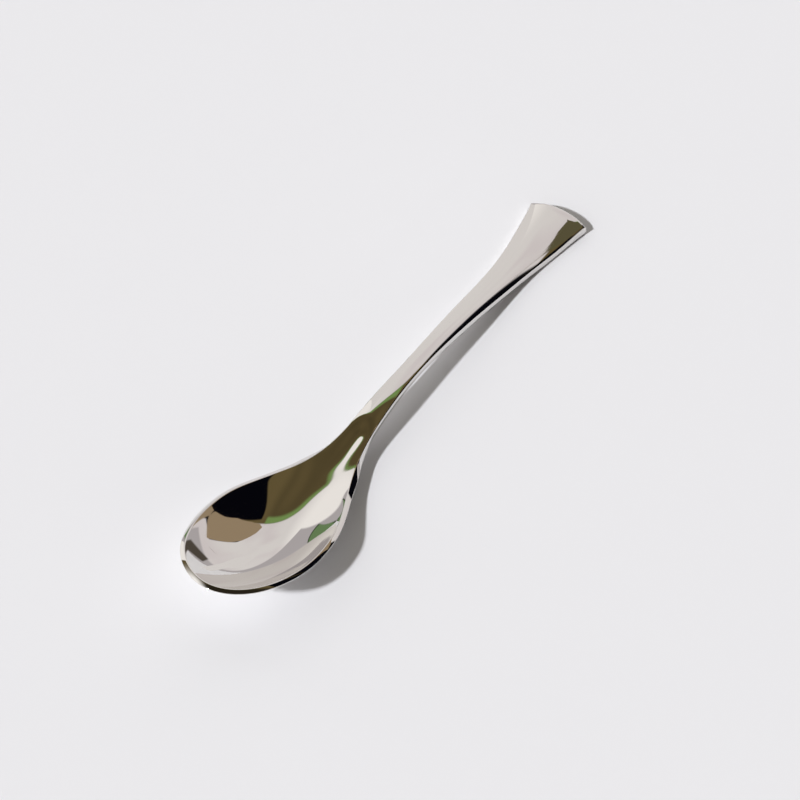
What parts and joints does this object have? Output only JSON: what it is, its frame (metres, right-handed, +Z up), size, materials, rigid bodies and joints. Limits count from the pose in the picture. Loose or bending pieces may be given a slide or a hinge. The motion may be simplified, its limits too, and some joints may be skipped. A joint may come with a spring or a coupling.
{
  "type": "quenelle spoon",
  "caption": "Small polished steel quenelle spoon: deep egg-shaped bowl with a raised rounded tip and a slim arched handle that widens to a fishtail end.",
  "frame": {"origin": "bottom centre of the bounding box: the middle of the spoon's length, on the table it rests on", "axes": "+X along the spoon from the tip of the bowl to the end of the handle, +Z up, Y across; symmetric in Y"},
  "size_m": [0.1449, 0.029, 0.0124],
  "materials": {
    "steel": "mirror polished stainless steel"
  },
  "bodies": {
    "root": {"spoon": "steel"}
  },
  "joints": []
}
